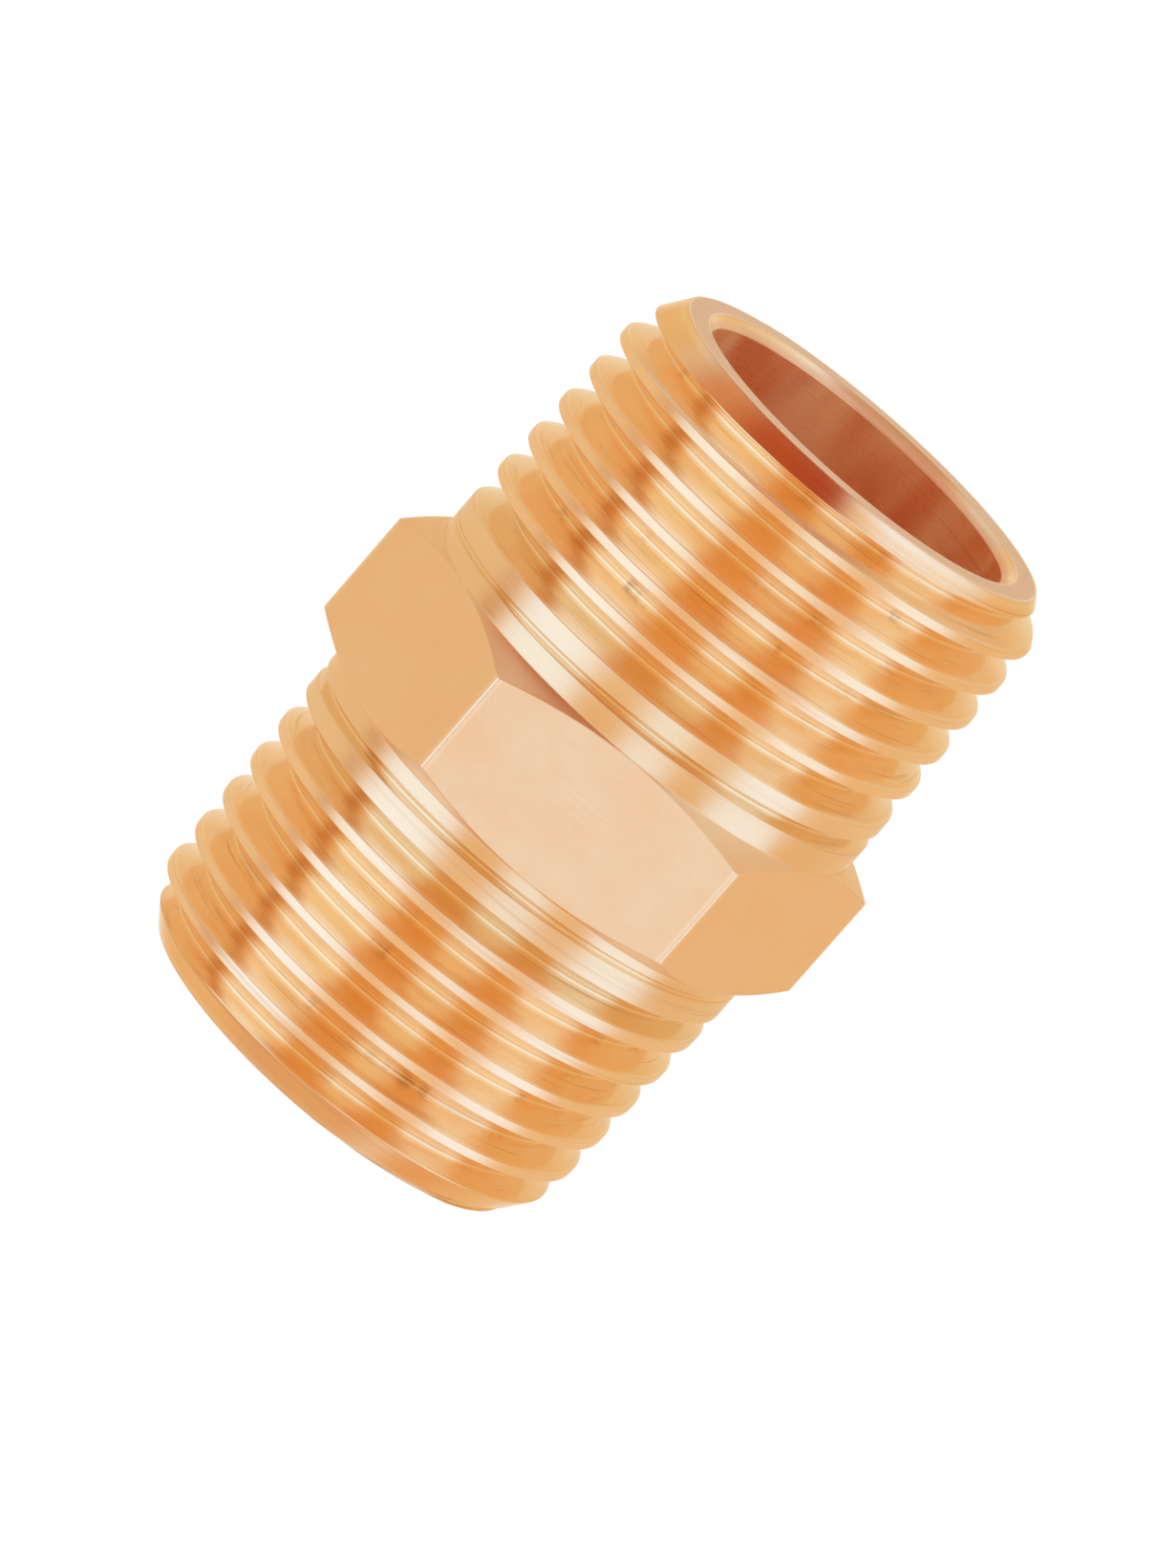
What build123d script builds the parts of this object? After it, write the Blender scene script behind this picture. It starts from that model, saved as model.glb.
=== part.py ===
"""Hex nipple for 1/2 inch pipe: two male taper threads with a wrench hexagon between them.

The nipple is one piece of brass. It stands on its lower end face, with +Z along the bore.
The origin is the centre of the lower end face. One pair of wrench flats faces -Y and +Y.
Lengths are in millimetres and angles in degrees.
"""

from build123d import *

import math
import os

# Overall
LENGTH = 33.0
MIDDLE = LENGTH / 2

# Bore
BORE_RADIUS = 7.5
MOUTH_BEVEL = 0.42

# Wrench hexagon
ACROSS_FLATS = 21.0
HEX_LENGTH = 6.4
HEX_CHAMFER_ANGLE = 27.5
HEX_CHAMFER_CROWN = 0.02
HEX_EDGE_RADIUS = 0.2
CORNER_RADIUS = ACROSS_FLATS / math.sqrt(3)

# Thread: 14 turns per inch, 55 degree form, taper 1 in 16 on the diameter
PITCH = 25.4 / 14
FLANK_ANGLE = 27.5
TAPER = 1 / 32
CREST_FLAT = 0.37
ROOT_FLAT = 0.15
ROOT_SHIFT = 0.06
SMALL_END_RADIUS = 10.13
NECK_RADIUS = 10.48
THREAD_DEPTH = (PITCH - CREST_FLAT - ROOT_FLAT) / 2 / math.tan(math.radians(FLANK_ANGLE))

# Lead-in chamfer at both ends
RIM_RADIUS = 8.97
LEAD_IN_ANGLE = 35.4

# Each groove: azimuth where it crosses its end face, and where it runs out near the hexagon,
# counted along the bore from the middle of the nipple
UPPER_START_AZIMUTH = 154.6
UPPER_RUN_OUT = (3.92, 5.72)
LOWER_START_AZIMUTH = 282.2
LOWER_RUN_OUT = (3.38, 6.08)

# Groove cutter
CUTTER_CLEARANCE = 0.2
CUTTER_OVERRUN = 1.3
POINTS_PER_TURN = 24


def root_radius(height, run_out):
    """Radius of the bottom of the groove. It follows the taper, then climbs out near the neck."""
    gone, full = run_out
    if height > full:
        return SMALL_END_RADIUS + (MIDDLE - height) * TAPER - THREAD_DEPTH
    deepest = SMALL_END_RADIUS + (MIDDLE - full) * TAPER - THREAD_DEPTH
    return deepest + (NECK_RADIUS - deepest) * (full - height) / (full - gone)


def turned_half():
    """Half section of one threaded end before the groove is cut, from the middle to the rim."""
    taper_start = MIDDLE - (NECK_RADIUS - SMALL_END_RADIUS) / TAPER
    slope = math.tan(math.radians(LEAD_IN_ANGLE))
    chamfer_drop = (SMALL_END_RADIUS - RIM_RADIUS) / (slope - TAPER)
    return [
        (0, 0),
        (NECK_RADIUS, 0),
        (NECK_RADIUS, taper_start),
        (RIM_RADIUS + chamfer_drop * slope, MIDDLE - chamfer_drop),
        (RIM_RADIUS, MIDDLE),
        (0, MIDDLE),
    ]


def revolved(points):
    """Solid of revolution about Z from (radius, height) points."""
    with BuildPart() as part:
        with BuildSketch(Plane.XZ):
            with BuildLine():
                Polyline(*points, close=True)
            make_face()
        revolve(axis=Axis.Z)
    return part.part


def groove_edge(turn, run_out, start, radial, axial):
    """One helical edge of a groove cutter, offset from the middle of the groove's bottom."""
    points = []
    for step in range(POINTS_PER_TURN + 1):
        height = MIDDLE + CUTTER_OVERRUN - PITCH * (turn + step / POINTS_PER_TURN)
        azimuth = math.radians(start) + 2 * math.pi * (height - MIDDLE) / PITCH
        radius = root_radius(height, run_out) + radial
        points.append(Vector(radius * math.cos(azimuth), radius * math.sin(azimuth), height + axial))
    return Edge.make_spline(points)


def groove_cutter(turn, run_out, start):
    """One turn of the V groove, counted down from above the end face.

    The bottom of the V lies a little nearer the end face than the middle of its mouth.
    """
    height = THREAD_DEPTH + CUTTER_CLEARANCE
    reach = ROOT_FLAT / 2 + height * math.tan(math.radians(FLANK_ANGLE))
    shift = ROOT_SHIFT * (1 - height / THREAD_DEPTH)
    corners = [
        (0, ROOT_SHIFT - ROOT_FLAT / 2),
        (0, ROOT_SHIFT + ROOT_FLAT / 2),
        (height, shift + reach),
        (height, shift - reach),
    ]
    edges = [groove_edge(turn, run_out, start, radial, axial) for radial, axial in corners]
    pairs = list(zip(edges, edges[1:] + edges[:1]))
    sides = [Face.make_surface_from_curves(a, b) for a, b in pairs]
    caps = [Face(Wire([Edge.make_line(a @ end, b @ end) for a, b in pairs])) for end in (0, 1)]
    return Solid(Shell(sides + caps))


def threaded_end(run_out, start):
    """Upper half of the nipple without the hexagon, with its right-hand groove."""
    turns = math.ceil((MIDDLE + CUTTER_OVERRUN - run_out[0]) / PITCH)
    return revolved(turned_half()) - [groove_cutter(turn, run_out, start) for turn in range(turns)]


def chamfer_envelope():
    """Solid of revolution that chamfers the corners of the hexagon down to the neck."""
    rise = (CORNER_RADIUS - NECK_RADIUS) * math.tan(math.radians(HEX_CHAMFER_ANGLE))
    half = HEX_LENGTH / 2
    slant = math.hypot(CORNER_RADIUS - NECK_RADIUS, rise)
    crown_radius = (NECK_RADIUS + CORNER_RADIUS) / 2 + HEX_CHAMFER_CROWN * rise / slant
    crown_height = half - rise / 2 + HEX_CHAMFER_CROWN * (CORNER_RADIUS - NECK_RADIUS) / slant
    with BuildPart() as envelope:
        with BuildSketch(Plane.XZ):
            with BuildLine():
                Polyline((NECK_RADIUS, half), (0, half), (0, -half), (NECK_RADIUS, -half))
                ThreePointArc(
                    (NECK_RADIUS, -half), (crown_radius, -crown_height), (CORNER_RADIUS, rise - half)
                )
                Line((CORNER_RADIUS, rise - half), (CORNER_RADIUS, half - rise))
                ThreePointArc(
                    (CORNER_RADIUS, half - rise), (crown_radius, crown_height), (NECK_RADIUS, half)
                )
            make_face()
        revolve(axis=Axis.Z)
    return envelope.part


def hexagon():
    """Wrench hexagon with its corners eased and chamfered."""
    with BuildPart() as prism:
        with BuildSketch(Plane.XY.offset(-HEX_LENGTH / 2)):
            RegularPolygon(CORNER_RADIUS, side_count=6)
        extrude(amount=HEX_LENGTH)
        fillet(prism.edges().filter_by(Axis.Z), HEX_EDGE_RADIUS)
    return prism.part & chamfer_envelope()


def bore():
    """Through-bore with a bevelled mouth at both ends."""
    mouth = BORE_RADIUS + MOUTH_BEVEL
    return revolved(
        [
            (0, -MIDDLE),
            (mouth, -MIDDLE),
            (BORE_RADIUS, MOUTH_BEVEL - MIDDLE),
            (BORE_RADIUS, MIDDLE - MOUTH_BEVEL),
            (mouth, MIDDLE),
            (0, MIDDLE),
        ]
    )


def nipple_body():
    """The whole nipple, standing on its lower end face."""
    upper = threaded_end(UPPER_RUN_OUT, UPPER_START_AZIMUTH)
    # Half a turn about X keeps the thread right-handed and sends an azimuth to its negative
    lower = threaded_end(LOWER_RUN_OUT, -LOWER_START_AZIMUTH).rotate(Axis.X, 180)
    body = upper + lower + hexagon() - bore()
    return body.translate((0, 0, MIDDLE))


if __name__ == "__main__":
    os.makedirs("parts", exist_ok=True)
    export_step(nipple_body(), "parts/nipple_body.step")
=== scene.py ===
"""Looks of the brass hex nipple: one machined piece, a plain floor, a coloured light tent and a camera."""

import math

import bpy
from mathutils import Matrix, Vector

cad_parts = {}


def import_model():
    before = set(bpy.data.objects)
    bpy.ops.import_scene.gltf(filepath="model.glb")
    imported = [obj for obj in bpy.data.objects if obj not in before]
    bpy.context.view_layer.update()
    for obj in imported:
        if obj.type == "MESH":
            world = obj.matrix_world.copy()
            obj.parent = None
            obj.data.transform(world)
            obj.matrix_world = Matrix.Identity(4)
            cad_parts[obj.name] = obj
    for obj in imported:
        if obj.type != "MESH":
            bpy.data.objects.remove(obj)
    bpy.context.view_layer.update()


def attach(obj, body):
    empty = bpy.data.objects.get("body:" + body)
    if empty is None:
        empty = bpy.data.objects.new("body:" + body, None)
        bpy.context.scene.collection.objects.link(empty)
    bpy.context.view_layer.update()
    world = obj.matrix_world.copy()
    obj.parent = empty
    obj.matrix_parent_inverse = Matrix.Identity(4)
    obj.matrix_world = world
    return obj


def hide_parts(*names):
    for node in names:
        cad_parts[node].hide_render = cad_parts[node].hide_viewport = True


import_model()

MM = 0.001

# Nipple, in millimetres, with heights counted along the bore from the middle
MIDDLE = 16.5
BORE_RADIUS = 7.5
MOUTH_BEVEL = 0.42
APOTHEM = 10.5
FACET = 60
HEX_HALF = 3.2
HEX_SLOPE = math.tan(math.radians(27.5))
HEX_EDGE_RADIUS = 0.2
NECK_RADIUS = 10.48
SMALL_END_RADIUS = 10.13
TAPER = 1 / 32
RIM_RADIUS = 8.97
LEAD_IN_SLOPE = math.tan(math.radians(35.4))
PITCH = 25.4 / 14
FLANK_SLOPE = math.tan(math.radians(27.5))
CREST_FLAT = 0.37
ROOT_FLAT = 0.15
ROOT_SHIFT = 0.06
DEPTH = (PITCH - CREST_FLAT - ROOT_FLAT) / 2 / FLANK_SLOPE

# Each end: way along the bore, azimuth where the groove's middle reaches the end face, height where the
# groove has run out, and height where it is full
UPPER = (1, 154.6, 3.92, 5.72)
LOWER = (-1, 282.2, 3.38, 6.08)

# Roundings of the small edges. An arc takes up at most a share of the line on each side of its corner.
CREST_ROUND = 0.05
ROOT_ROUND = 0.1
EDGE_ROUND = 0.06
ARC_STEPS = 3
ARC_SHARE = 0.45
SHORTEST_LINE = 1e-7

# Columns of the mesh: even steps round the axis, and more of them, in degrees, beside each hexagon corner
COLUMNS = 300
CORNER_STEPS = (0.18, 0.36, 0.54)
# Grooves are drawn this far past the end face, in turns, before the end face cuts them off
TURNS_PAST_END = 1.5


def cone(height):
    """Crest radius: a cylinder at the neck, then the taper."""
    return min(NECK_RADIUS, SMALL_END_RADIUS + (MIDDLE - height) * TAPER)


def lead_in(height):
    """Radius of the chamfer at the end."""
    return RIM_RADIUS + (MIDDLE - height) * LEAD_IN_SLOPE


def root_radius(height, gone, full):
    """Radius of the groove's bottom. It follows the taper, then climbs out near the neck."""
    if height > full:
        return SMALL_END_RADIUS + (MIDDLE - height) * TAPER - DEPTH
    deepest = SMALL_END_RADIUS + (MIDDLE - full) * TAPER - DEPTH
    return deepest + (NECK_RADIUS - deepest) * (full - height) / (full - gone)


def hex_radius(azimuth):
    """Distance from the axis to the side of the hexagon, whose corners are rounded."""
    off = math.radians(abs((azimuth + FACET / 2) % FACET - FACET / 2))
    half_facet = math.radians(FACET / 2)
    centre = (APOTHEM - HEX_EDGE_RADIUS) / math.cos(half_facet)
    touch = math.atan2(HEX_EDGE_RADIUS / 2, centre + HEX_EDGE_RADIUS * math.cos(half_facet))
    if off > touch:
        return APOTHEM / math.cos(half_facet - off)
    return centre * math.cos(off) + math.sqrt(HEX_EDGE_RADIUS**2 - (centre * math.sin(off)) ** 2)


def groove_corners(azimuth, end):
    """Corners of the grooves at one azimuth, from the neck out past the end face."""
    way, start, gone, full = end
    turn = (azimuth - start) / 360 * way
    corners = []
    first = math.ceil((gone - MIDDLE) / PITCH - turn)
    last = math.floor(TURNS_PAST_END - turn)
    for count in range(first, last + 1):
        middle = MIDDLE + PITCH * (turn + count)
        root = root_radius(middle, gone, full)
        bottom = middle + ROOT_SHIFT
        mouth = middle + ROOT_SHIFT * (1 - (cone(middle) - root) / DEPTH)
        half = ROOT_FLAT / 2
        reach = half + (cone(middle) - root) * FLANK_SLOPE
        corners.append((("crest_below", count), mouth - reach, cone(mouth - reach), CREST_ROUND))
        corners.append((("root_below", count), bottom - half, root, ROOT_ROUND))
        corners.append((("root_above", count), bottom + half, root, ROOT_ROUND))
        corners.append((("crest_above", count), mouth + reach, cone(mouth + reach), CREST_ROUND))
    return corners


def under_lead_in(corners):
    """What lies under the lead-in chamfer, with the corners where the outline crosses it."""
    kept = []
    for here, after in zip(corners, corners[1:]):
        gap = here[2] - lead_in(here[1])
        gap_after = after[2] - lead_in(after[1])
        if gap <= 0:
            kept.append(here)
        if (gap <= 0) != (gap_after <= 0):
            height = here[1] + (after[1] - here[1]) * gap / (gap - gap_after)
            kept.append((("cut", here[0]), height, lead_in(height), CREST_ROUND))
    return kept


def rim_radius(corners):
    """Radius of the outline where it meets the end face."""
    for here, after in zip(corners, corners[1:]):
        if here[1] < MIDDLE <= after[1]:
            radius = here[2] + (after[2] - here[2]) * (MIDDLE - here[1]) / (after[1] - here[1])
            return min(RIM_RADIUS, radius)
    return RIM_RADIUS


def half_outline(azimuth, end):
    """Corners of one half, from the side of the hexagon out to the end face and into the bore."""
    side = hex_radius(azimuth)
    foot = (("foot",), HEX_HALF, NECK_RADIUS, EDGE_ROUND)
    beyond = MIDDLE + 2 * PITCH
    line = [foot] + groove_corners(azimuth, end) + [(("beyond",), beyond, cone(beyond), 0)]
    outside = [corner for corner in under_lead_in(line) if corner[1] < MIDDLE]
    return (
        [(("side",), HEX_HALF - (side - NECK_RADIUS) * HEX_SLOPE, side, EDGE_ROUND)]
        + outside
        + [
            (("rim",), MIDDLE, rim_radius(line), EDGE_ROUND),
            (("mouth",), MIDDLE, BORE_RADIUS + MOUTH_BEVEL, EDGE_ROUND),
            (("throat",), MIDDLE - MOUTH_BEVEL, BORE_RADIUS, EDGE_ROUND),
        ]
    )


def rounded(corners):
    """Closed outline with each corner replaced by a short arc, as (label, height, radius) points."""
    points = []
    count = len(corners)
    for i, (label, height, radius, rounding) in enumerate(corners):
        corner = Vector((height, radius))
        before = Vector(corners[i - 1][1:3]) - corner
        after = Vector(corners[(i + 1) % count][1:3]) - corner
        if min(before.length, after.length) < SHORTEST_LINE:
            reach = 0.0
        else:
            bend = math.pi - before.angle(after)
            longest = ARC_SHARE * min(before.length, after.length)
            reach = min(rounding * math.tan(bend / 2), longest)
        from_point = corner + before.normalized() * reach
        to_point = corner + after.normalized() * reach
        for step in range(ARC_STEPS + 1):
            t = step / ARC_STEPS
            at = from_point * (1 - t) ** 2 + corner * 2 * t * (1 - t) + to_point * t**2
            points.append(((label, step), at.x, at.y))
    return points


def outline(azimuth):
    """Closed outline of the section at one azimuth, starting in the upper mouth."""
    upper = [(("upper",) + c[0], c[1], c[2], c[3]) for c in half_outline(azimuth, UPPER)]
    lower = [(("lower",) + c[0], -c[1], c[2], c[3]) for c in half_outline(azimuth, LOWER)]
    start = len(upper) - 2
    return rounded(upper[start:] + lower[::-1] + upper[:start])


def column_azimuths():
    """Azimuths of the columns: even steps, with more of them round each hexagon corner."""
    azimuths = {round(360 * i / COLUMNS, 6) for i in range(COLUMNS)}
    for corner in range(0, 360, FACET):
        for off in CORNER_STEPS:
            azimuths.add(round((corner + off) % 360, 6))
            azimuths.add(round((corner - off) % 360, 6))
    return sorted(azimuths)


def zipped(left, right):
    """Faces between two neighbouring columns, given as lists of (label, vertex)."""
    place = {label: j for j, (label, vertex) in enumerate(right)}
    anchors = [(i, place[label]) for i, (label, vertex) in enumerate(left) if label in place]
    anchors.append((len(left), len(right)))
    a = [vertex for label, vertex in left] + [left[0][1]]
    b = [vertex for label, vertex in right] + [right[0][1]]
    faces = []
    for (i0, j0), (i1, j1) in zip(anchors, anchors[1:]):
        i, j = i0, j0
        while i1 - i > 1 or j1 - j > 1:
            if (i1 - i) / (i1 - i0) >= (j1 - j) / (j1 - j0) and i1 - i > 0:
                faces.append((a[i], b[j], a[i + 1]))
                i += 1
            else:
                faces.append((a[i], b[j], b[j + 1]))
                j += 1
        if i1 - i == 1 and j1 - j == 1:
            faces.append((a[i], b[j], b[j + 1], a[i + 1]))
        elif i1 - i == 1:
            faces.append((a[i], b[j], a[i + 1]))
        elif j1 - j == 1:
            faces.append((a[i], b[j], b[j + 1]))
    return faces


def weigh_normals(mesh):
    """Smooth shading that keeps large faces flat up to their rounded edges."""
    sums = [Vector() for vertex in mesh.vertices]
    for face in mesh.polygons:
        face.use_smooth = True
        for vertex in face.vertices:
            sums[vertex] += face.normal * face.area
    mesh.normals_split_custom_set_from_vertices([total.normalized() for total in sums])


def nipple_mesh():
    """Mesh of the whole nipple, made of columns of outline points."""
    azimuths = column_azimuths()
    vertices = []
    columns = []
    for azimuth in azimuths:
        angle = math.radians(azimuth)
        column = []
        for label, height, radius in outline(azimuth):
            column.append((label, len(vertices)))
            place = (radius * math.cos(angle), radius * math.sin(angle), height + MIDDLE)
            vertices.append([MM * value for value in place])
        columns.append(column)
    # After a full turn the grooves have other numbers, so the first column is numbered again
    last_labels = [label for label, height, radius in outline(360.0)]
    columns.append(list(zip(last_labels, [vertex for label, vertex in columns[0]])))
    faces = []
    for left, right in zip(columns, columns[1:]):
        faces.extend(zipped(left, right))
    mesh = bpy.data.meshes.new("nipple")
    mesh.from_pydata(vertices, [], faces)
    mesh.validate()
    mesh.update()
    weigh_normals(mesh)
    return mesh


def add_node(tree, kind, links=(), **values):
    """New shader node with its settings, and its inputs as (input, value or output) pairs."""
    made = tree.nodes.new("ShaderNode" + kind)
    for name, value in values.items():
        setattr(made, name, value)
    for socket, source in links:
        if hasattr(source, "links"):
            tree.links.new(source, made.inputs[socket])
        else:
            made.inputs[socket].default_value = source
    return made


def calculate(tree, operation, *sources, clamp=False):
    """Output of a Math node."""
    return add_node(tree, "Math", list(enumerate(sources)), operation=operation, use_clamp=clamp).outputs[0]


def ramp(tree, factor, stops):
    """Output of a smooth colour ramp with (position, colour or level) stops."""
    made = add_node(tree, "ValToRGB", [("Fac", factor)])
    made.color_ramp.interpolation = "EASE"
    elements = made.color_ramp.elements
    while len(elements) < len(stops):
        elements.new(1.0)
    for element, (position, colour) in zip(elements, stops):
        element.position = position
        element.color = (*colour, 1) if isinstance(colour, tuple) else (colour, colour, colour, 1)
    return made.outputs["Color"]


# Sockets of the Mix node: factor, the two colours, and the mixed colour
MIX_FACTOR, MIX_FIRST, MIX_SECOND, MIX_RESULT = 0, 6, 7, 2


def mixed(tree, factor, first, second, blend="MIX"):
    """Output of a colour mix from first to second."""
    first, second = [(*colour, 1) if isinstance(colour, tuple) else colour for colour in (first, second)]
    links = [(MIX_FACTOR, factor), (MIX_FIRST, first), (MIX_SECOND, second)]
    return add_node(tree, "Mix", links, data_type="RGBA", blend_type=blend).outputs[MIX_RESULT]


# Light tent around the nipple. Its panels, gaps and roof are coloured, and they are placed and toned
# so that the threads show the reference's bands. The metal owes part of its warm tone to them.
# Bearings are in degrees from the camera's resting place, with right positive. The radius is in metres.
TENT_RADIUS = 0.2
# A panel fades at each side over twice this many degrees
PANEL_EDGE = 5
# Each panel: bearing of its middle, half its width, colour
UPRIGHT_PANELS = [
    (-47, 23, (1.01, 1.07, 1.17)),
    (16, 12, (0.97, 0.96, 0.98)),
    (70, 19, (1.00, 1.03, 1.12)),
]
LOW_PANELS = [
    (-53, 19, (1.00, 1.04, 1.14)),
    (20, 8, (0.86, 0.60, 0.36)),
    (84, 17, (0.94, 0.84, 0.74)),
]
GAP_LIGHT = (0.84, 0.50, 0.22)
LOW_GAP_LIGHT = (0.80, 0.38, 0.14)
SIDE_LIGHT = (0.85, 0.58, 0.33)
LOW_SIDE_LIGHT = (0.83, 0.50, 0.24)
# The side light reaches to this bearing, and the back light begins to take over there
SIDE_END = 150
# Dark strip that shows as a dark line at the left of the threads: bearing of its middle, half its width
SEAM = (-80, 3.5)
SEAM_LIGHT = (0.62, 0.28, 0.10)
BACK_LIGHT = (0.95, 0.86, 0.74)
# Roof: bearings and colours
ROOF = [
    (-180, (0.72, 0.40, 0.20)),
    (-120, (0.75, 0.60, 0.46)),
    (-88, (0.68, 0.28, 0.12)),
    (-50, (0.48, 0.09, 0.03)),
    (5, (0.42, 0.06, 0.02)),
    (28, (0.88, 0.66, 0.48)),
    (50, (0.95, 0.92, 0.95)),
    (95, (0.92, 0.85, 0.78)),
    (130, (0.84, 0.60, 0.36)),
    (180, (0.72, 0.40, 0.20)),
]
ZENITH_LIGHT = (0.62, 0.32, 0.18)
PIT_LIGHT = (0.76, 0.42, 0.20)
# The panels are warmer towards their tops
TOP_TINT = (0.97, 0.90, 0.74)
# Angles above the horizon over which each part of the tent passes into the next
PIT_TO_LOW = (-78, -60)
LOW_TO_WALL = (-48, -24)
WALL_TO_TOP = (-12, 6)
WALL_TO_ROOF = (22, 42)
ROOF_TO_ZENITH = (62, 76)


def wall_stops(panels, gap, side):
    """Colours of the tent's wall by bearing: panels, with warm gaps between and beside them."""
    seam_middle, seam_half = SEAM
    stops = [(-180, BACK_LIGHT), (-SIDE_END, side), (seam_middle - seam_half - PANEL_EDGE, side)]
    stops += [(seam_middle - seam_half, SEAM_LIGHT), (seam_middle + seam_half, SEAM_LIGHT)]
    for middle, half, light in panels:
        stops += [(middle - half - PANEL_EDGE, gap), (middle - half + PANEL_EDGE, light)]
        stops += [(middle + half - PANEL_EDGE, light), (middle + half + PANEL_EDGE, gap)]
    return stops + [(SIDE_END, side), (180, BACK_LIGHT)]


def by_bearing(tree, around, stops):
    """Colour by bearing, from (degrees, colour) stops."""
    return ramp(tree, around, [(0.5 + angle / 360, colour) for angle, colour in stops])


def by_rise(tree, up, low, high):
    """Level that goes from 0 to 1 between two angles above the horizon."""
    return ramp(tree, up, [(0.5 + low / 180, 0), (0.5 + high / 180, 1)])


def tent_light(tree, around, up):
    """Colour of the tent by bearing and by angle above the horizon."""
    low = by_bearing(tree, around, wall_stops(LOW_PANELS, LOW_GAP_LIGHT, LOW_SIDE_LIGHT))
    wall = by_bearing(tree, around, wall_stops(UPRIGHT_PANELS, GAP_LIGHT, SIDE_LIGHT))
    wall = mixed(tree, by_rise(tree, up, *WALL_TO_TOP), wall, TOP_TINT, "MULTIPLY")
    light = mixed(tree, by_rise(tree, up, *PIT_TO_LOW), PIT_LIGHT, low)
    light = mixed(tree, by_rise(tree, up, *LOW_TO_WALL), light, wall)
    light = mixed(tree, by_rise(tree, up, *WALL_TO_ROOF), light, by_bearing(tree, around, ROOF))
    return mixed(tree, by_rise(tree, up, *ROOF_TO_ZENITH), light, ZENITH_LIGHT)


def bright_material(name):
    """Empty material for something that gives light but isn't sampled as a lamp."""
    material = bpy.data.materials.new(name)
    material.use_nodes = True
    material.cycles.emission_sampling = "NONE"
    material.node_tree.nodes.clear()
    return material


def tent():
    """Coloured light all round, unseen by the camera itself: a wall of panels under a warm roof."""
    bpy.ops.mesh.primitive_uv_sphere_add(segments=64, ring_count=32, radius=TENT_RADIUS)
    made = bpy.context.object
    made.name = "tent"
    made.location.z = MIDDLE * MM
    made.visible_camera = False
    made.visible_shadow = False
    material = bright_material("tent")
    tree = material.node_tree
    place = add_node(tree, "TexCoord").outputs["Object"]
    links = [("Vector", place), ("Angle", -CAMERA_TURN)]
    turned = add_node(tree, "VectorRotate", links, rotation_type="Z_AXIS")
    axes = add_node(tree, "SeparateXYZ", [(0, turned.outputs[0])]).outputs
    bearing = calculate(tree, "ARCTAN2", axes["X"], calculate(tree, "MULTIPLY", axes["Y"], -1.0))
    around = calculate(tree, "MULTIPLY_ADD", bearing, 1 / (2 * math.pi), 0.5)
    rise = calculate(tree, "ARCSINE", calculate(tree, "MULTIPLY", axes["Z"], 1 / TENT_RADIUS))
    up = calculate(tree, "MULTIPLY_ADD", rise, 1 / math.pi, 0.5)
    emission = add_node(tree, "Emission", [("Color", tent_light(tree, around, up))])
    add_node(tree, "OutputMaterial", [("Surface", emission.outputs[0])])
    made.data.materials.append(material)


# Brass: where it is cut, with warmer clouds, burnished at the necks, milled on the hexagon, pale at an edge
# with wear and a painted highlight, stained, faced off at the ends, and bored, with dark stretches of
# painted shade
CUT_BRASS = (0.98, 0.81, 0.59)
WARM_BRASS = (0.96, 0.75, 0.52)
PALE_BRASS = (0.93, 0.79, 0.59)
HEX_BRASS = (0.95, 0.81, 0.63)
# Pale edge colour: partly wear, partly a painted highlight
EDGE_WEAR_AND_HIGHLIGHT = (1.0, 0.93, 0.80)
TARNISH = (0.45, 0.24, 0.15)
FACED_BRASS = (0.74, 0.53, 0.43)
BORED_BRASS = (1.0, 0.78, 0.50)
# Dark red painted shade for stretches of the bore
BORE_SHADE = (0.84, 0.36, 0.17)

# Zones in millimetres, each as the measure where it begins and the measure where it is full.
# Distance from the middle of the hexagon:
NECK_ZONE = (6.6, 5.6)
HEX_ZONE = (HEX_HALF + 0.2, HEX_HALF - 0.1)
FACE_ZONE = (MIDDLE - 0.12, MIDDLE - 0.02)
THREAD_ZONE = (4.0, 6.0)
MOUTH_ZONE = (MIDDLE - 0.6, MIDDLE - 0.3)
# Radius:
BORE_ZONE = (BORE_RADIUS + 0.3, BORE_RADIUS + 0.1)
CORNER_ZONE = (11.98, 12.04)
# Depth under the crests:
CREST_ZONE = (0.12, 0.02)
ROOT_ZONE = (DEPTH - 0.35, DEPTH)

# Edge lines of wear and painted highlight, in millimetres: place, and half the width. The crest's place is a
# depth under the crests, the rim's is radius plus distance from the middle, and the mouth's is that distance
# minus the radius.
CREST_LINE = (0.07, 0.1)
RIM_LINE = (RIM_RADIUS + MIDDLE, 0.12)
MOUTH_LINE = (MIDDLE - BORE_RADIUS - MOUTH_BEVEL, 0.07)
# Share of the half width that is fully pale with wear and painted highlight
WEAR_AND_HIGHLIGHT_CORE = 0.4

# Noises: features per millimetre across the turned marks and per radian along them, then the detail
MARKS = (7, 0.4, 2)
GRAIN = (9, 90, 2)
CLOUDS = (0.5, 4, 3)
SPOTS = (1.2, 7, 4)
# The bore's noise places dark bands of painted shade
BORE_SHADE_BANDS = (0.1, 2.6, 2)
# Levels of a noise between which its effect sets in
WARM_LEVELS = (0.4, 0.75)
HEX_LEVELS = (0.3, 0.9)
BORE_SHADE_LEVELS = (0.35, 0.65)
SPOT_LEVELS = (0.58, 0.74)
SCORE_LEVELS = (0.60, 0.72)
SPOT_STRENGTH = 0.4
SCORE_STRENGTH = 0.3
# Strength of the pale edges: wear and a painted highlight
WEAR_AND_HIGHLIGHT_STRENGTH = 0.7

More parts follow.
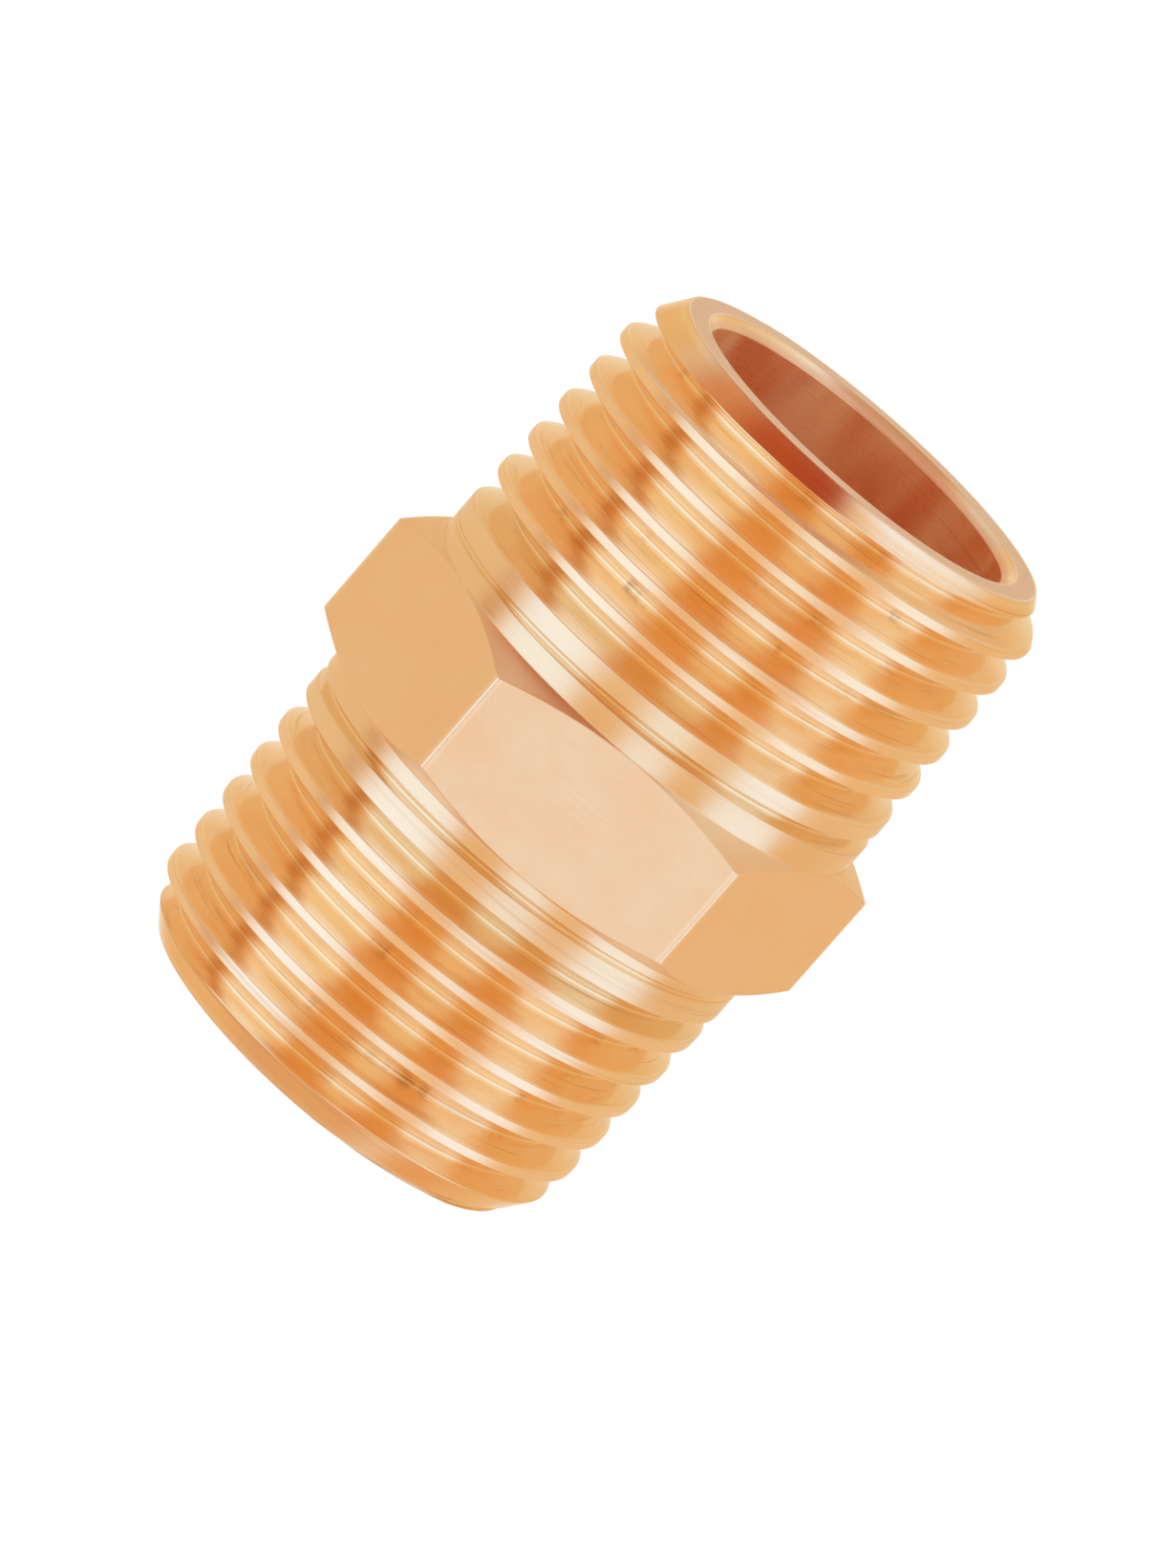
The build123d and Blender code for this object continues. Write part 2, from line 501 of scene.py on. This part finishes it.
# Roughness: the least, and what the marks, the clouds and each zone add
LEAST_ROUGH = 0.06
MARKS_ROUGH = 0.14
CLOUDS_ROUGH = 0.06
CREST_ROUGH = 0.12
FACE_ROUGH = 0.12
HEX_ROUGH = 0.22
BORE_ROUGH = 0.12
# Share of the bore's surface that is shaded as non-metal, which keeps its ends from turning black
BORE_DULLNESS = 0.55
# Relief of the marks: its height, its strength, and how much weaker it is on the hexagon and in the bore
RELIEF = 0.02 * MM
RELIEF_STRENGTH = 0.35
RELIEF_CUT = -0.25


def fade(tree, source, start, end):
    """Level that goes smoothly from 0 at start to 1 at end."""
    links = [("Value", source), ("From Min", start), ("From Max", end)]
    return add_node(tree, "MapRange", links, interpolation_type="SMOOTHSTEP").outputs["Result"]


def ring_noise(tree, axes, across, along, detail):
    """Noise on the turned surface: features per millimetre across the marks, and per radian along them."""
    radius, height, side, front = axes
    scaled = [
        calculate(tree, "MULTIPLY", radius, across),
        calculate(tree, "MULTIPLY", height, across),
        calculate(tree, "MULTIPLY", side, along),
    ]
    vector = add_node(tree, "CombineXYZ", list(enumerate(scaled))).outputs[0]
    turn = calculate(tree, "MULTIPLY", front, along)
    links = [("Vector", vector), ("W", turn), ("Scale", 1.0), ("Detail", detail)]
    return add_node(tree, "TexNoise", links, noise_dimensions="4D").outputs[0]


def turned_axes(tree):
    """Radius and height in millimetres, and the cosine and sine of the azimuth."""
    place = add_node(tree, "TexCoord").outputs["Object"]
    links = [(0, place), ("Scale", 1 / MM)]
    millimetres = add_node(tree, "VectorMath", links, operation="SCALE").outputs[0]
    axes = add_node(tree, "SeparateXYZ", [(0, millimetres)]).outputs
    squares = [calculate(tree, "MULTIPLY", axes[name], axes[name]) for name in "XY"]
    radius = calculate(tree, "SQRT", calculate(tree, "ADD", *squares))
    side = calculate(tree, "DIVIDE", axes["X"], radius)
    front = calculate(tree, "DIVIDE", axes["Y"], radius)
    return radius, calculate(tree, "SUBTRACT", axes["Z"], MIDDLE), side, front


def wear_and_highlight_line(tree, source, middle, half):
    """Level that is 1 along the core of a line and fades to 0 at half its width."""
    off = calculate(tree, "ABSOLUTE", calculate(tree, "SUBTRACT", source, middle))
    return fade(tree, off, half, half * WEAR_AND_HIGHLIGHT_CORE)


def opposite(tree, level):
    """Level that is 1 where the other is 0."""
    return calculate(tree, "SUBTRACT", 1.0, level)


def wear_and_highlight_edges(tree, radius, reach, depth):
    """Edges of the crests, of the hexagon's corners, of the rim and of the mouth, made pale by wear and a
    painted highlight.
    """
    corner = fade(tree, radius, *CORNER_ZONE)
    crest = wear_and_highlight_line(tree, depth, *CREST_LINE)
    crest = calculate(tree, "MULTIPLY", crest, fade(tree, reach, *THREAD_ZONE))
    outer = wear_and_highlight_line(tree, calculate(tree, "ADD", radius, reach), *RIM_LINE)
    inner = wear_and_highlight_line(tree, calculate(tree, "SUBTRACT", reach, radius), *MOUTH_LINE)
    inner = calculate(tree, "MULTIPLY", inner, fade(tree, reach, *MOUTH_ZONE))
    rim = calculate(tree, "MAXIMUM", outer, inner)
    return calculate(tree, "MAXIMUM", calculate(tree, "MAXIMUM", corner, crest), rim)


def surface_zones(tree, radius, height):
    """Levels of the zones of the surface by name, and the distance from the middle."""
    reach = calculate(tree, "ABSOLUTE", height)
    taper = calculate(tree, "MULTIPLY_ADD", reach, -TAPER, SMALL_END_RADIUS + MIDDLE * TAPER)
    depth = calculate(tree, "SUBTRACT", taper, radius)
    neck = fade(tree, reach, *NECK_ZONE)
    hexagon = fade(tree, reach, *HEX_ZONE)
    inside = fade(tree, radius, *BORE_ZONE)
    threaded = opposite(tree, calculate(tree, "MAXIMUM", neck, inside))
    return {
        "reach": reach,
        "neck": neck,
        "hexagon": hexagon,
        "face": fade(tree, reach, *FACE_ZONE),
        "inside": inside,
        "crest": calculate(tree, "MULTIPLY", fade(tree, depth, *CREST_ZONE), opposite(tree, hexagon)),
        "root": calculate(tree, "MULTIPLY", fade(tree, depth, *ROOT_ZONE), threaded),
        "edge_wear_and_highlight": wear_and_highlight_edges(tree, radius, reach, depth),
    }


def brass_colour(tree, axes, marks, clouds, zone):
    """Colour: the finish of each zone with painted shade in the bore, then stains, scored lines, and edges
    made pale by wear and a painted highlight.
    """
    shade_bands = ring_noise(tree, axes, *BORE_SHADE_BANDS)
    colour = mixed(tree, fade(tree, clouds, *WARM_LEVELS), CUT_BRASS, WARM_BRASS)
    colour = mixed(tree, zone["neck"], colour, PALE_BRASS)
    flats = mixed(tree, fade(tree, clouds, *HEX_LEVELS), HEX_BRASS, WARM_BRASS)
    colour = mixed(tree, zone["hexagon"], colour, flats)
    colour = mixed(tree, zone["face"], colour, FACED_BRASS)
    # The bore gets dark stretches of painted shade
    bored = mixed(tree, fade(tree, shade_bands, *BORE_SHADE_LEVELS), BORED_BRASS, BORE_SHADE)
    colour = mixed(tree, zone["inside"], colour, bored)
    spots = fade(tree, ring_noise(tree, axes, *SPOTS), *SPOT_LEVELS)
    stain = calculate(tree, "MULTIPLY", spots, SPOT_STRENGTH)
    colour = mixed(tree, calculate(tree, "MULTIPLY", stain, zone["root"]), colour, TARNISH)
    scored = calculate(tree, "MULTIPLY", fade(tree, marks, *SCORE_LEVELS), SCORE_STRENGTH)
    off_hexagon = calculate(tree, "SUBTRACT", zone["reach"], HEX_HALF, clamp=True)
    scored = calculate(tree, "MULTIPLY", scored, off_hexagon)
    scored = calculate(tree, "MULTIPLY", scored, opposite(tree, zone["face"]))
    colour = mixed(tree, scored, colour, TARNISH)
    # Pale edges: wear and a painted highlight
    return mixed(tree, calculate(tree, "MULTIPLY", zone["edge_wear_and_highlight"], WEAR_AND_HIGHLIGHT_STRENGTH), colour, EDGE_WEAR_AND_HIGHLIGHT)


def brass_roughness(tree, marks, clouds, zone):
    """Roughness: polished threads, duller crests, faces, hexagon and bore."""
    rough = calculate(tree, "MULTIPLY_ADD", marks, MARKS_ROUGH, LEAST_ROUGH)
    rough = calculate(tree, "MULTIPLY_ADD", clouds, CLOUDS_ROUGH, rough)
    rough = calculate(tree, "MULTIPLY_ADD", zone["crest"], CREST_ROUGH, rough)
    rough = calculate(tree, "MULTIPLY_ADD", zone["face"], FACE_ROUGH, rough)
    rough = calculate(tree, "MULTIPLY_ADD", zone["hexagon"], HEX_ROUGH, rough)
    return calculate(tree, "MULTIPLY_ADD", zone["inside"], BORE_ROUGH, rough)


def brass():
    """Bright brass: fine turned marks, edges pale with wear and a painted highlight, painted shade in the
    bore, and a little tarnish in the grooves.
    """
    material = bpy.data.materials.new("brass")
    material.use_nodes = True
    tree = material.node_tree
    shader = tree.nodes["Principled BSDF"]
    axes = turned_axes(tree)
    zone = surface_zones(tree, *axes[:2])
    marks = ring_noise(tree, axes, *MARKS)
    clouds = ring_noise(tree, axes, *CLOUDS)
    texture = mixed(tree, zone["hexagon"], marks, ring_noise(tree, axes, *GRAIN))
    strength = calculate(tree, "MULTIPLY_ADD", zone["hexagon"], RELIEF_CUT, RELIEF_STRENGTH)
    strength = calculate(tree, "MULTIPLY_ADD", zone["inside"], RELIEF_CUT, strength)
    bump = add_node(tree, "Bump", [("Height", texture), ("Strength", strength), ("Distance", RELIEF)])
    metallic = calculate(tree, "MULTIPLY_ADD", zone["inside"], -BORE_DULLNESS, 1.0)
    tree.links.new(brass_colour(tree, axes, marks, clouds, zone), shader.inputs["Base Color"])
    tree.links.new(brass_roughness(tree, marks, clouds, zone), shader.inputs["Roughness"])
    tree.links.new(metallic, shader.inputs["Metallic"])
    tree.links.new(bump.outputs[0], shader.inputs["Normal"])
    return material


FLOOR_HALF = 4.0


def floor():
    """Plain white floor that the nipple stands on."""
    half = FLOOR_HALF
    mesh = bpy.data.meshes.new("floor")
    corners = [(-half, -half, 0), (half, -half, 0), (half, half, 0), (-half, half, 0)]
    mesh.from_pydata(corners, [], [(0, 1, 2, 3)])
    made = bpy.data.objects.new("floor", mesh)
    bpy.context.scene.collection.objects.link(made)
    made.visible_glossy = False
    material = bright_material("floor")
    tree = material.node_tree
    emission = add_node(tree, "Emission", [("Strength", 1.0)])
    add_node(tree, "OutputMaterial", [("Surface", emission.outputs[0])])
    mesh.materials.append(material)


def world():
    """White beyond the floor."""
    made = bpy.data.worlds.new("studio")
    made.use_nodes = True
    made.node_tree.nodes["Background"].inputs["Color"].default_value = (1, 1, 1, 1)
    bpy.context.scene.world = made


# Camera: a little to the left of -Y, raised, and rolled so that the bore leans across the view
CAMERA_TURN = math.radians(-6.64)
CAMERA_RISE = math.radians(13.094)
CAMERA_ROLL = math.radians(41.119)
CAMERA_DISTANCE = 416.588 * MM
CAMERA_LENS = 240.3
CAMERA_SENSOR = 36
CAMERA_CLIP = (0.05, 20)
AIM_RIGHT = 0.5213 * MM
AIM_UP = -0.9596 * MM
AIM_HEIGHT = (MIDDLE - 0.09) * MM


def camera():
    """Camera at its place, with no shift and no depth of field."""
    right = Vector((math.cos(CAMERA_TURN), math.sin(CAMERA_TURN), 0))
    front = Vector((math.sin(CAMERA_TURN), -math.cos(CAMERA_TURN), 0))
    back = front * math.cos(CAMERA_RISE) + Vector((0, 0, math.sin(CAMERA_RISE)))
    up = back.cross(right)
    x_axis = right * math.cos(CAMERA_ROLL) + up * math.sin(CAMERA_ROLL)
    y_axis = up * math.cos(CAMERA_ROLL) - right * math.sin(CAMERA_ROLL)
    place = Vector((0, 0, AIM_HEIGHT)) + back * CAMERA_DISTANCE + right * AIM_RIGHT + up * AIM_UP
    data = bpy.data.cameras.new("camera")
    data.lens = CAMERA_LENS
    data.sensor_width = CAMERA_SENSOR
    data.clip_start, data.clip_end = CAMERA_CLIP
    made = bpy.data.objects.new("camera", data)
    turn = Matrix((x_axis, y_axis, back)).transposed().to_4x4()
    made.matrix_world = Matrix.Translation(place) @ turn
    bpy.context.scene.collection.objects.link(made)
    bpy.context.scene.camera = made


camera()
world()
floor()
tent()

nipple = bpy.data.objects.new("nipple", nipple_mesh())
bpy.context.scene.collection.objects.link(nipple)
nipple.data.materials.append(brass())
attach(nipple, "root")
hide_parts("nipple_body")

bpy.context.scene.view_settings.view_transform = "Standard"
# Light runs many times across the bore and the grooves before it leaves
bpy.context.scene.cycles.glossy_bounces = 24
bpy.context.scene.cycles.max_bounces = 24
